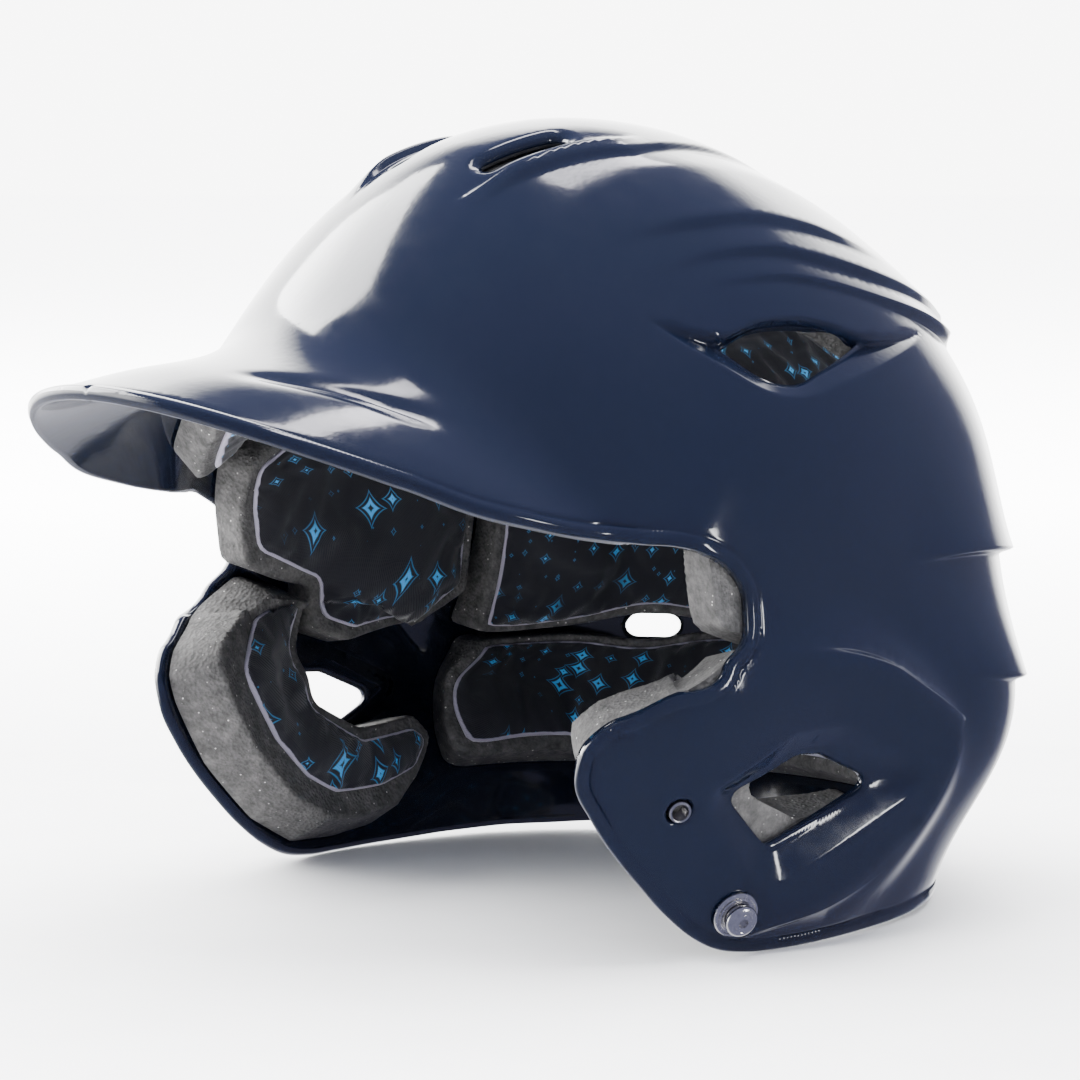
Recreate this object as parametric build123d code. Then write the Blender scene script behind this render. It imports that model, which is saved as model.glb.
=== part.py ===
from build123d import *
import math
import os

# Double-flap batting helmet, millimetres.
# +Z is up, the wearer faces -Y and the wearer's left is +X.
# The origin is on the floor under the middle of the length; X = 0 is the plane of symmetry.

# Shell: one moulded wall, described as seen from the side (Y forward-back, Z up).
# The wall is a dome whose sections fan out from an axis through the face opening.
axis_y = -52.0
axis_z = 88.0
wall_thickness = 3.2
ear_half_width = 103.5
# Outline of the shell in the plane of symmetry: brim, brow, crown, back, then closed under the chin.
brim_line = [(-170, 137), (-150, 143), (-125, 147), (-97, 151)]
brow_line = [(-84, 157.5), (-74, 168), (-62, 181), (-48, 192.5), (-28, 201.5)]
crown_line = [(0, 206), (30, 203), (60, 192.5), (86, 176.5), (106, 157)]
back_line = [(120, 137), (127, 112), (127.5, 85), (124, 55), (112, 25), (102, 0)]
chin_line = [
    (94, -60), (40, -130), (-60, -130), (-100, -90), (-118, -20), (-128, 30), (-142, 75), (-163, 112),
]

# How full the sections are, by the angle round the fan axis.
fullness_mean = 1.81
fullness_front = -0.557
fullness_ends = 0.676
fullness_top = 0.128

# Plan taper in front of the ears, tuck of the flaps, flare of the lower edge and nape swell.
taper_start_y = -30.0
taper_rate = 0.0008
tuck_height = 70.0
tuck_rate = 0.057
flare_rate = 0.063
low_draw_in = 0.05
nape_swell = 23.0
nape_centre = (75.0, 45.0)
nape_reach = (45.0, 35.0)

# Raised cup over each ear.
cup_height = 5.0
cup_centre = (-9.0, 42.0)
cup_reach = (54.0, 39.0)
cup_edge = 0.2

# Openings in the wall.
brim_tip_y = -151.0
brim_half_width = 98.0
brim_depth = 125.0
brim_sweep = 130.0
face_edge = [(-130, 125), (-104, 117.5), (-77, 111), (-53, 106), (-37, 101.5)]
notch_edge = [(-29, 90), (-36, 78), (-51, 69.5), (-65, 61.5), (-69.5, 52)]
flap_edge = [(-58, 31), (-41, 13), (-24, 2), (-6, -0.2), (32, 1)]
nape_edge = [(65, 2), (94, 3), (125, 6)]
ear_hole = [(-30, 41), (-9, 50), (-1, 49.5), (18, 41), (-15, 27)]
ear_hole_corner = 2.5
side_vent_ends = [(-20, 152), (31, 151.5)]
side_vent_top = (4, 157)
side_vent_sill = [(12, 145.5), (-2, 142.5), (-10, 144.5)]
top_vent_centre = (18.0, -27.0)
top_vent_length = 26.0
top_vent_width = 5.0
top_vent_turn = 84.0
rear_vent_x = 68.0
rear_vent_z = 58.0
rear_vent_length = 14.0
rear_vent_height = 7.0

# Foam pads: a core against the wall and a thin printed fabric face on top of it.
pad_gap = 0.4
face_gap = 0.3
face_thickness = 2.6
face_inset_angle = 1.2
face_inset_side = 0.012
front_foam = 11.0
crown_foam = 10.0
side_foam = 9.0
temple_foam = 11.0
rear_foam = 13.0
nape_foam = 12.0
ear_foam = 16.0
ear_pad_gap = 1.4
rear_pad_from_y = 52.0
rear_pad_heights = (63.0, 180.0)
nape_pad_heights = (18.0, 53.0)
rear_face_inset = 1.6
ear_pad_outline = [
    (-29.5, 81), (-38, 76), (-52, 67.8), (-63, 61.5), (-68, 55.5), (-67, 49), (-57, 30.5), (-40, 13),
    (-24, 4), (-6, 3), (10, 4.5), (22, 12), (27, 26), (20, 34), (-4, 32), (-22, 40), (-20, 56), (-12, 76),
]
ear_face_outline = [
    (-28, 71), (-38, 66), (-49, 60), (-55, 53), (-53, 47), (-44, 31.5), (-31, 19.5), (-18, 13.5),
    (3, 13.5), (18, 17), (23.5, 25.5), (18, 30), (-5, 28), (-26, 38), (-24.5, 57), (-17, 71),
]
temple_pad_outline = [
    (-41, 118), (-36, 85), (-9, 80), (-9, 62), (4, 57.5),
    (24, 62), (46, 74), (48, 118), (30, 131), (-14, 132),
]
temple_face_outline = [
    (-37, 116), (-33, 88), (-6, 83), (-6, 64), (5, 61),
    (23, 65), (42, 76.5), (44, 116), (28, 127), (-12, 128),
]
flap_pad_corner = 3.0

# Fixings in each flap, placed from the side view and set square to the wall.
guard_insert_at = (-44.0, 40.0)
jaw_stud_at = (-23.0, 12.0)
insert_radius = 2.85
insert_bore_radius = 2.1
insert_proud = 0.5
guard_flange_radius = 6.0
jaw_flange_radius = 4.2
flange_thickness = 1.2
flange_gap = 1.2
hole_clearance = 0.05
pocket_clearance = 0.4
jaw_bore_radius = 2.0
stud_shank_radius = 1.95
stud_shank_length = 7.0
stud_neck_radius = 3.2
stud_neck_height = 1.2
stud_cap_radius = 4.3
stud_cap_height = 2.2
stud_recess_across = 2.5
stud_recess_depth = 1.6
washer_radius = 6.2
washer_thickness = 1.3
washer_lift = 0.3
washer_edge_chamfer = 0.4

os.makedirs("parts", exist_ok=True)

profile = Spline(*(brim_line + brow_line + crown_line + back_line + chin_line), periodic=True)
# The origin of the finished part is the middle of its length, so the drawn shapes move by this much in Y.
origin_shift = -(brim_tip_y + profile.bounding_box().max.X) / 2


def eased(distance, width=8.0):
    """Zero below nought and the distance itself well above it, with a soft bend between."""
    return width * math.log1p(math.exp(distance / width))


def cup_rise(y, z):
    """Height of the raised cup over the ear, from the side view."""
    reach = ((y - cup_centre[0]) / cup_reach[0]) ** 2 + ((z - cup_centre[1]) / cup_reach[1]) ** 2
    return cup_height / (1 + math.exp(min((reach - 1) / cup_edge, 60)))


def half_width(y, z):
    """Half width the wall would have at the fan axis, changed along the helmet."""
    taper = 1 - taper_rate * eased(taper_start_y - y)
    drop = min(max((tuck_height - z) / tuck_height, 0), 1.3)
    tuck = 1 - tuck_rate * drop * min(max((20 - y) / 60, -1.2), 1.5)
    flare = flare_rate * drop**2 - low_draw_in * drop
    swell_y = (y - nape_centre[0]) / nape_reach[0]
    swell_z = (z - nape_centre[1]) / nape_reach[1]
    swell = nape_swell * math.exp(-(swell_y**2) - swell_z**2)
    return ear_half_width * (taper * tuck + flare) + swell


def profile_point(angle):
    """Point of the symmetry outline at an angle round the fan axis (0 front, 90 top, 180 back)."""
    low = -0.05
    high = 0.95
    for _ in range(26):
        middle = (low + high) / 2
        point = profile @ (middle % 1)
        around = math.degrees(math.atan2(point.Y - axis_z, axis_y - point.X))
        if middle > 0.2 and around < 0:
            around += 360
        if around < angle:
            low = middle
        else:
            high = middle
    return profile @ (low % 1)


def wall_point(rim_y, rim_z, side):
    """Point of the outer surface; side runs from -1 (right end) over 0 (middle) to 1 (left end)."""
    reach = math.sin(math.radians(90 * (1 - 0.97 * abs(side))))
    out_y = rim_y - axis_y
    out_z = rim_z - axis_z
    angle = math.atan2(out_z, -out_y)
    fullness = fullness_mean + fullness_front * math.cos(angle)
    fullness += fullness_ends * math.cos(2 * angle) + fullness_top * math.sin(angle)
    y = axis_y + reach * out_y
    z = axis_z + reach * out_z
    fall = math.sqrt(max(1 - reach**fullness, 0))
    x = half_width(y, z) * fall + cup_rise(y, z) * min(4 * fall, 1)
    return Vector(math.copysign(x, side), y, z)


def section_edge(angle, depth, start, end, count):
    """Points at one depth below the outer surface, all in the plane of one fan angle."""
    rim = profile_point(angle)
    ahead = profile_point(angle + 0.02)
    step = 1e-4
    fan_normal = (Vector(0, rim.X, rim.Y) - Vector(0, axis_y, axis_z)).normalized().cross(Vector(1, 0, 0))
    points = []
    for index in range(count):
        side = start + (end - start) * index / (count - 1)
        here = wall_point(rim.X, rim.Y, side)
        along = (wall_point(rim.X, rim.Y, side + step) - wall_point(rim.X, rim.Y, side - step)).normalized()
        across = wall_point(ahead.X, ahead.Y, side) - here
        normal = across.cross(along).normalized()
        if normal.dot(here - Vector(0, -20, 80)) < 0:
            normal = -normal
        inward = fan_normal.cross(along).normalized()
        points.append(here - inward * (depth / normal.dot(inward)))
    return points


def slab(first_angle, last_angle, sections, near_depth, far_depth, start, end, count):
    """Curved layer of the wall between two depths, two fan angles and two side positions."""
    wires = []
    for index in range(sections):
        angle = first_angle + (last_angle - first_angle) * index / (sections - 1)
        near = Spline(*section_edge(angle, near_depth, start, end, count))
        far = Spline(*section_edge(angle, far_depth, start, end, count)[::-1])
        wires.append(Wire([near, Line(near @ 1, far @ 0), far, Line(far @ 1, near @ 0)]))
    return Solid.make_loft(wires)


def side_view_point(y, z):
    """Point of the outer surface seen from the side at (y, z), on the left half."""
    angle = math.degrees(math.atan2(z - axis_z, axis_y - y)) % 360
    rim = profile_point(angle)
    reach = math.hypot(y - axis_y, z - axis_z) / math.hypot(rim.X - axis_y, rim.Y - axis_z)
    side = (1 - math.degrees(math.asin(reach)) / 90) / 0.97
    return wall_point(rim.X, rim.Y, side)


def flap_plane(place, hand):
    """Plane on the flap's outer surface facing outward; hand is 1 for left and -1 for right."""
    here = side_view_point(place[0], place[1])
    along = side_view_point(place[0] + 1, place[1]) - here
    up = side_view_point(place[0], place[1] + 1) - here
    normal = along.cross(up)
    return Plane(origin=(hand * here.X, here.Y, here.Z), z_dir=(hand * normal.X, normal.Y, normal.Z))


def disc(plane, radius, bottom, top):
    """Round slug square to a plane, between two heights above it."""
    return extrude(plane.offset(bottom) * Circle(radius), top - bottom)


def side_prism(outline, near_x, far_x):
    """Straight prism along X from an outline drawn in the side view."""
    return extrude(Plane.YZ.offset(near_x) * outline, far_x - near_x)


def build_shell():
    """Moulded shell with its brim, flaps, rim and vents."""
    wall = slab(14, 304, 50, 0, wall_thickness, -1, 1, 25)
    rim = Spline(*(face_edge + notch_edge + flap_edge + nape_edge))
    outside = [(150, nape_edge[-1][1]), (150, -200), (-200, -200), (-200, 120)]
    below = Polyline(nape_edge[-1], *outside, face_edge[0])
    face_opening = side_prism(make_face([rim, below]), -130, 130)
    brim_centre = (0, brim_tip_y + brim_depth)
    first_angle = 270 - brim_sweep / 2
    brim_front = EllipticalCenterArc(
        brim_centre, brim_half_width, brim_depth, first_angle, arc_size=brim_sweep
    )
    brim_end_y = (brim_front @ 1).Y
    outside = [(150, brim_end_y), (150, -210), (-150, -210), (-150, brim_end_y)]
    ahead = Polyline(brim_front @ 1, *outside, brim_front @ 0)
    brim_trim = extrude(Plane.XY.offset(90) * make_face([brim_front, ahead]), 90)
    ear_outline = make_face(Polyline(*ear_hole, close=True))
    ears = side_prism(fillet(ear_outline.vertices(), ear_hole_corner), -130, 130)
    vent_top = ThreePointArc(side_vent_ends[0], side_vent_top, side_vent_ends[1])
    vent_sill = Spline(side_vent_ends[1], *side_vent_sill, side_vent_ends[0])
    vents = side_prism(make_face([vent_top, vent_sill]), -130, 130)
    floor = Pos(0, 0, -50) * Box(400, 400, 100)
    cutters = [face_opening, brim_trim, ears, vents, floor]
    for hand in (1, -1):
        slot = SlotOverall(top_vent_length, top_vent_width, rotation=hand * top_vent_turn)
        top_place = Location((hand * top_vent_centre[0], top_vent_centre[1], 150))
        cutters.append(extrude(Plane.XY * top_place * slot, 80))
        rear_slot = SlotOverall(rear_vent_length, rear_vent_height)
        cutters.append(extrude(Plane.XZ * Pos(hand * rear_vent_x, rear_vent_z, -60) * rear_slot, -90))
        guard = flap_plane(guard_insert_at, hand)
        cutters.append(disc(guard, insert_radius + hole_clearance, -12, 8))
        jaw = flap_plane(jaw_stud_at, hand)
        cutters.append(disc(jaw, insert_radius + hole_clearance, -12, 8))
    for cutter in cutters:
        wall -= cutter
    return wall


def build_pad(first_angle, last_angle, start, end, foam):
    """Foam core against the wall and the fabric face on top of it."""
    sections = 3 + round((last_angle - first_angle) / 7)
    count = 5 + 2 * round((end - start) * 6)
    core_near = wall_thickness + pad_gap
    face_near = core_near + foam + face_gap
    core = slab(first_angle, last_angle, sections, core_near, core_near + foam, start, end, count)
    first_face = first_angle + face_inset_angle
    last_face = last_angle - face_inset_angle
    start_face = start + face_inset_side
    end_face = end - face_inset_side
    face_far = face_near + face_thickness
    face = slab(first_face, last_face, sections, face_near, face_far, start_face, end_face, count)
    return core, face


def build_flap_pad(hand, angles, sides, core_outline, face_outline, gap, foam):
    """Foam core and fabric face cut to outlines drawn in the side view."""
    core_near = wall_thickness + gap
    face_near = core_near + foam + face_gap
    first_angle, last_angle = angles
    start, end = sorted((hand * sides[0], hand * sides[1]))
    core = slab(first_angle, last_angle, 20, core_near, core_near + foam, start, end, 13)
    face = slab(first_angle, last_angle, 20, face_near, face_near + face_thickness, start, end, 13)
    core_window = make_face(Polyline(*core_outline, close=True))
    face_window = make_face(Polyline(*face_outline, close=True))
    core &= side_prism(fillet(core_window.vertices(), flap_pad_corner), hand * 20, hand * 130)
    face &= side_prism(fillet(face_window.vertices(), flap_pad_corner), hand * 20, hand * 130)
    return core, face


def build_ear_pad(hand):
    """Ear pad with pockets for the fixings behind it."""
    core, face = build_flap_pad(
        hand, (194, 300), (0.6, 0.985), ear_pad_outline, ear_face_outline, ear_pad_gap, ear_foam
    )
    for place, flange_radius in ((guard_insert_at, guard_flange_radius), (jaw_stud_at, jaw_flange_radius)):
        plane = flap_plane(place, hand)
        pocket_bottom = -(wall_thickness + flange_gap + flange_thickness + pocket_clearance)
        core -= disc(plane, flange_radius + pocket_clearance, pocket_bottom, 0)
    tip_bottom = -(stud_shank_length + pocket_clearance)
    core -= disc(flap_plane(jaw_stud_at, hand), stud_shank_radius + pocket_clearance, tip_bottom, 0)
    return core, face


def build_insert(plane, bore_radius, flange_radius, proud):
    """Threaded insert: a barrel through the wall with a flange behind it."""
    flange_top = -(wall_thickness + flange_gap)
    insert = disc(plane, insert_radius, flange_top - flange_thickness, proud)
    insert += disc(plane, flange_radius, flange_top - flange_thickness, flange_top)
    insert -= disc(plane, bore_radius, flange_top - flange_thickness - 1, proud + 1)
    return insert


def build_washer(plane):
    """Dished base washer under the stud."""
    washer = disc(plane, washer_radius, washer_lift, washer_lift + washer_thickness)
    rim = washer.edges().filter_by(GeomType.CIRCLE).sort_by(Axis(plane.origin, plane.z_dir))[-1]
    washer = chamfer(rim, washer_edge_chamfer)
    washer -= disc(plane, jaw_bore_radius, 0, 5)
    return washer


def build_stud(plane):
    """Cap and neck of the jaw strap snap stud, with its drive recess."""
    neck_bottom = washer_lift + washer_thickness + hole_clearance
    cap_bottom = neck_bottom + stud_neck_height
    cap_top = cap_bottom + stud_cap_height
    stud = disc(plane, stud_neck_radius, neck_bottom, cap_bottom)
    stud += disc(plane, stud_cap_radius, cap_bottom, cap_top)
    crown = stud.edges().filter_by(GeomType.CIRCLE).sort_by(Axis(plane.origin, plane.z_dir))[-1]
    stud = fillet(crown, 0.8)
    recess = RegularPolygon(stud_recess_across / 2, 6, major_radius=False)
    return stud - extrude(plane.offset(cap_top - stud_recess_depth) * recess, stud_recess_depth + 1)


def build_screw(plane):
    """Screw shank fixed under the snap stud, running through the washer into the insert."""
    shank_top = washer_lift + washer_thickness + hole_clearance
    return disc(plane, stud_shank_radius, -stud_shank_length, shank_top)


def save(shape, name):
    """Write one node in the part's own frame."""
    export_step(Pos(0, origin_shift, 0) * shape, f"parts/{name}.step")


def trim_to_heights(core, face, heights):
    """Cut a rear pad to level top and bottom edges and upright ends."""
    back_y = 150
    middle_y = (rear_pad_from_y + back_y) / 2
    middle_z = (heights[0] + heights[1]) / 2
    window = Pos(middle_y, middle_z) * Rectangle(back_y - rear_pad_from_y, heights[1] - heights[0])
    face_window = offset(window, -rear_face_inset)
    return core & side_prism(window, -130, 130), face & side_prism(face_window, -130, 130)


pads = {
    "front": (60, 85, -0.70, 0.70, front_foam),
    "crown": (93, 143, -0.14, 0.14, crown_foam),
    "side_left": (90, 147, 0.26, 0.54, side_foam),
    "side_right": (90, 147, -0.54, -0.26, side_foam),
    "rear": (151, 196, -0.62, 0.62, rear_foam),
    "nape": (184, 216, -0.66, 0.66, nape_foam),
}
level_pads = {"rear": rear_pad_heights, "nape": nape_pad_heights}

save(build_shell(), "shell")
for name, layout in pads.items():
    core, face = build_pad(*layout)
    if name in level_pads:
        core, face = trim_to_heights(core, face, level_pads[name])
    save(core, f"{name}_pad_foam")
    save(face, f"{name}_pad_face")
for side_name, hand in (("left", 1), ("right", -1)):
    core, face = build_ear_pad(hand)
    save(core, f"ear_pad_foam_{side_name}")
    save(face, f"ear_pad_face_{side_name}")
    core, face = build_flap_pad(
        hand, (84, 214), (0.5, 0.93), temple_pad_outline, temple_face_outline, pad_gap, temple_foam
    )
    save(core, f"temple_{side_name}_pad_foam")
    save(face, f"temple_{side_name}_pad_face")
    guard = flap_plane(guard_insert_at, hand)
    jaw = flap_plane(jaw_stud_at, hand)
    guard_insert = build_insert(guard, insert_bore_radius, guard_flange_radius, insert_proud)
    save(guard_insert, f"guard_insert_{side_name}")
    save(build_insert(jaw, jaw_bore_radius, jaw_flange_radius, -hole_clearance), f"jaw_insert_{side_name}")
    save(build_washer(jaw), f"jaw_washer_{side_name}")
    save(build_stud(jaw), f"jaw_stud_{side_name}")
    save(build_screw(jaw), f"jaw_screw_{side_name}")
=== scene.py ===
import itertools
import math

import bmesh
import bpy
import numpy as np
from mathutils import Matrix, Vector
from mathutils.geometry import delaunay_2d_cdt
from mathutils.kdtree import KDTree


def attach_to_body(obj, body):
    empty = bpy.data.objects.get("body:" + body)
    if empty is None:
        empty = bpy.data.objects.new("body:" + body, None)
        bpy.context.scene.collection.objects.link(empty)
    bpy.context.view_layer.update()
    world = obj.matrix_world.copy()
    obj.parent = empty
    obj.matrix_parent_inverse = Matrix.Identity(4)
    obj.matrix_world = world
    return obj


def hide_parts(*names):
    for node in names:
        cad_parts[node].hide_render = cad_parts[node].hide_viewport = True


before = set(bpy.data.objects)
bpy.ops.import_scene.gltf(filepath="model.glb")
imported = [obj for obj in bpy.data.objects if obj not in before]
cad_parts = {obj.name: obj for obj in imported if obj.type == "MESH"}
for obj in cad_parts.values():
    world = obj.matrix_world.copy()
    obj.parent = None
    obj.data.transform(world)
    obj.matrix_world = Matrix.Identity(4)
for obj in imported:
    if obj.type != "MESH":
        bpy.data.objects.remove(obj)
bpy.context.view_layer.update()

# ---------------------------------------------------------------- helmet form
# Drawn in millimetres with the same shapes as the CAD wall. The side view is
# (y, z); ORIGIN_SHIFT carries it into the part's own frame.
AXIS = np.array([-52.0, 88.0])
WALL = 3.2
EAR_HALF_WIDTH = 103.5
ORIGIN_SHIFT = 11.605
OUTLINE = [
    (-170, 137), (-150, 143), (-125, 147), (-97, 151), (-84, 157.5), (-74, 168), (-62, 181),
    (-48, 192.5), (-28, 201.5), (0, 206), (30, 203), (60, 192.5), (86, 176.5), (106, 157),
    (120, 137), (127, 112), (127.5, 85), (124, 55), (112, 25), (102, 0), (94, -60), (40, -130),
    (-60, -130), (-100, -90), (-118, -20), (-128, 30), (-142, 75), (-163, 112),
]
CUP_CENTRE = (-9.0, 42.0)
CUP_REACH = (54.0, 39.0)
CUP_HEIGHT = 5.0
SIDE_SPAN = 0.97

# Openings and fixings: places in millimetres, drawn from the side unless said otherwise.
GUARD_INSERT_AT = (-44.0, 40.0)
JAW_STUD_AT = (-23.0, 12.0)
FIXING_BORE_RADIUS = 2.9
TOP_VENT_AT = (18, -27)  # (x, y), seen from above
TOP_VENT_SIZE = (26, 5)  # length and width, as in REAR_VENT_SIZE
TOP_VENT_TURN = math.radians(84)
TOP_HOOD_HALF_LENGTH = 11
REAR_VENT_AT = (68, 58)  # (x, z), seen from behind
REAR_VENT_SIZE = (14, 7)
BRIM_CENTRE_Y = -26.0
BRIM_HALF_WIDTH = 98.0
BRIM_DEPTH = 125.0

# Meshing, in millimetres: the spacing of points, and the scales of the two charts (FLAT_CHART is
# for one unit of side and for one radian of fan angle).
FINE = 1.15
PAD_SPACING = 2.0
SIDE_CHART = 196
FLAT_CHART = (185, 125)
# Fan angles, in radians: where the searches for the top and rear vents start, where the search for
# a pad's level edge ends, and a place on the crown that closes the rim of one half into a loop.
CROWN_ANGLE = math.radians(95)
NAPE_ANGLE = math.radians(190)
HEM_ANGLE = math.radians(226)
INNER_ANGLE = 2.4


def periodic_spline(points, count):
    """Closed cubic spline through points, by chord length."""
    points = np.array(points, float)
    n = len(points)
    step = np.linalg.norm(np.roll(points, -1, 0) - points, axis=1)
    before = np.roll(step, 1)
    system = np.zeros((n, n))
    rows = np.arange(n)
    system[rows, rows] = 2 * (step + before)
    system[rows, (rows + 1) % n] = step
    system[rows, (rows - 1) % n] = before
    slope = (np.roll(points, -1, 0) - points) / step[:, None]
    bend = np.linalg.solve(system, 6 * (slope - np.roll(slope, 1, 0)))
    knots = np.r_[0, np.cumsum(step)]
    t = np.linspace(0, knots[-1], count, endpoint=False)
    i = np.clip(np.searchsorted(knots, t, side="right") - 1, 0, n - 1)
    h = step[i][:, None]
    left = (t - knots[i])[:, None]
    right = h - left
    j = (i + 1) % n
    curve = bend[i] * right**3 / (6 * h) + bend[j] * left**3 / (6 * h)
    return curve + (points[i] / h - bend[i] * h / 6) * right + (points[j] / h - bend[j] * h / 6) * left


def open_spline(points, count):
    """Smooth open curve through points (Catmull-Rom by chord length), evenly spaced."""
    points = np.array(points, float)
    ends = np.vstack([2 * points[0] - points[1], points, 2 * points[-1] - points[-2]])
    pieces = []
    for k in range(len(points) - 1):
        p0, p1, p2, p3 = ends[k:k + 4]
        d0, d1, d2 = (max(np.linalg.norm(b - a), 1e-6) for a, b in ((p0, p1), (p1, p2), (p2, p3)))
        m1 = (p2 - p1) + d1 * ((p1 - p0) / d0 - (p2 - p0) / (d0 + d1))
        m2 = (p2 - p1) + d1 * ((p3 - p2) / d2 - (p3 - p1) / (d1 + d2))
        t = np.linspace(0, 1, 24, endpoint=False)[:, None]
        pieces.append(
            (2 * t**3 - 3 * t**2 + 1) * p1 + (t**3 - 2 * t**2 + t) * m1
            + (3 * t**2 - 2 * t**3) * p2 + (t**3 - t**2) * m2
        )
    dense = np.vstack(pieces + [points[-1:]])
    return respace(dense, count)


def loop_length(points, closed=True):
    ahead = np.roll(points, -1, 0) if closed else points[1:]
    return np.linalg.norm(ahead - (points if closed else points[:-1]), axis=1).sum()


def respace(points, count, closed=False):
    """The same polyline with count evenly spaced points."""
    if closed:
        points = np.vstack([points, points[:1]])
    along = np.r_[0, np.cumsum(np.linalg.norm(np.diff(points, axis=0), axis=1))]
    t = np.linspace(0, along[-1], count, endpoint=not closed)
    return np.stack([np.interp(t, along, points[:, k]) for k in range(points.shape[1])], 1)


def respace_on(points, a, s, count, closed=False):
    """Surface parameters of count evenly spaced points along a row, found by its length in space."""
    even = respace(np.c_[points, a * 1e-6, s * 1e-6], count, closed)
    return even[:, 3] * 1e6, even[:, 4] * 1e6


def rounded(corners, radius, spacing):
    """Closed outline of a polygon with rounded corners."""
    corners = np.array(corners, float)
    out = []
    for k, corner in enumerate(corners):
        a = corners[k - 1] - corner
        b = corners[(k + 1) % len(corners)] - corner
        la, lb = np.linalg.norm(a), np.linalg.norm(b)
        a, b = a / la, b / lb
        half = math.acos(max(-1, min(1, a @ b))) / 2
        back = min(radius / math.tan(half), 0.45 * la, 0.45 * lb)
        start, end = corner + a * back, corner + b * back
        for t in np.linspace(0, 1, 9):
            out.append((1 - t)**2 * start + 2 * t * (1 - t) * corner + t**2 * end)
    out = np.array(out)
    return respace(out, max(12, round(loop_length(out) / spacing)), closed=True)


SECTION = periodic_spline(OUTLINE, 4000) - AXIS
SECTION_ANGLE = np.unwrap(np.arctan2(SECTION[:, 1], -SECTION[:, 0]))
SECTION_RADIUS = np.linalg.norm(SECTION, axis=1)


def rim_radius(angle):
    """Distance from the fan's axis to the outline in the side view."""
    start = SECTION_ANGLE[0]
    turned = (angle - start) % (2 * np.pi) + start
    angles = np.r_[SECTION_ANGLE, start + 2 * np.pi]
    return np.interp(turned, angles, np.r_[SECTION_RADIUS, SECTION_RADIUS[0]])


def eased(distance, width=8.0):
    return width * np.logaddexp(0, distance / width)


def smooth(t):
    t = np.clip(t, 0, 1)
    return t * t * (3 - 2 * t)


def half_width(y, z):
    taper = 1 - 0.0008 * eased(-30 - y)
    drop = np.clip((70 - z) / 70, 0, 1.3)
    tuck = 1 - 0.057 * drop * np.clip((20 - y) / 60, -1.2, 1.5)
    flare = 0.063 * drop**2 - 0.05 * drop
    swell = 23 * np.exp(-((y - 75) / 45)**2 - ((z - 45) / 35)**2)
    return EAR_HALF_WIDTH * (taper * tuck + flare) + swell


def cup_rise(y, z):
    """The raised cup over the ear: soft towards the face, with a firmer step behind."""
    across = (y - CUP_CENTRE[0]) / CUP_REACH[0]
    above = (z - CUP_CENTRE[1]) / CUP_REACH[1]
    edge = 0.2 - 0.1 * smooth((across * 0.9 + 0.15 * above) / 0.8)
    return CUP_HEIGHT / (1 + np.exp(np.minimum((across**2 + above**2 - 1) / edge, 60)))


def base(a, s):
    """Outer surface without its creases; a is the fan angle, s runs from 0 (middle) to 1 (side)."""
    reach = np.sin(np.pi / 2 * (1 - SIDE_SPAN * np.abs(s)))
    r = rim_radius(a)
    y = AXIS[0] - reach * r * np.cos(a)
    z = AXIS[1] + reach * r * np.sin(a)
    full = 1.81 - 0.557 * np.cos(a) + 0.676 * np.cos(2 * a) + 0.128 * np.sin(a)
    fall = np.sqrt(np.maximum(1 - reach**full, 0))
    x = half_width(y, z) * fall + cup_rise(y, z) * np.minimum(4 * fall, 1)
    return np.stack([np.where(s < 0, -x, x), y, z], -1)


def frame_at(a, s):
    """Unit outward normal and the two tangents of the base surface."""
    e = 1e-4
    da = (base(a + e, s) - base(a - e, s)) / (2 * e)
    ds = (base(a, s + e) - base(a, s - e)) / (2 * e)
    normal = np.cross(da, ds)
    normal /= np.linalg.norm(normal, axis=-1)[..., None] + 1e-12
    outward = np.sign((normal * (base(a, s) - np.array([0, -20, 80]))).sum(-1))
    return normal * outward[..., None], da, ds


def from_side(y, z):
    """Surface parameters of the left half's points that are seen from the side at (y, z)."""
    y, z = np.asarray(y, float), np.asarray(z, float)
    a = np.arctan2(z - AXIS[1], AXIS[0] - y) % (2 * np.pi)
    reach = np.clip(np.hypot(y - AXIS[0], z - AXIS[1]) / rim_radius(a), 0, 1)
    return a, (1 - np.arcsin(reach) / (np.pi / 2)) / SIDE_SPAN


def from_view(points, columns, a, s):
    """Surface parameters of points drawn in the view of two columns (0 x, 1 y, 2 z), by Newton steps."""
    points = np.array(points, float)
    a, s = np.full(len(points), float(a)), np.full(len(points), float(s))
    for _ in range(25):
        _, da, ds = frame_at(a, s)
        off = points - base(a, s)[:, columns]
        m = np.stack([da[:, columns], ds[:, columns]], -1)
        move = np.linalg.solve(m, off[..., None])[..., 0]
        a = a + np.clip(move[:, 0], -0.15, 0.15)
        s = s + np.clip(move[:, 1], -0.15, 0.15)
    return a, s


def line_field(y, z, line):
    """Signed distance above a polyline drawn front to back, and the fraction along it."""
    line = np.array(line, float)
    best = np.full(y.shape, 1e9)
    sign = np.ones(y.shape)
    part = np.zeros(y.shape)
    lengths = np.r_[0, np.cumsum(np.linalg.norm(np.diff(line, axis=0), axis=1))]
    for k in range(len(line) - 1):
        d = line[k + 1] - line[k]
        py, pz = y - line[k, 0], z - line[k, 1]
        t = np.clip((py * d[0] + pz * d[1]) / (d @ d), 0, 1)
        away = np.hypot(py - t * d[0], pz - t * d[1])
        closer = away < best
        best = np.where(closer, away, best)
        sign = np.where(closer, np.where(d[0] * pz - d[1] * py > 0, 1.0, -1.0), sign)
        along = lengths[k] + t * (lengths[k + 1] - lengths[k])
        part = np.where(closer, along / lengths[-1], part)
    return best * sign, part


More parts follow.
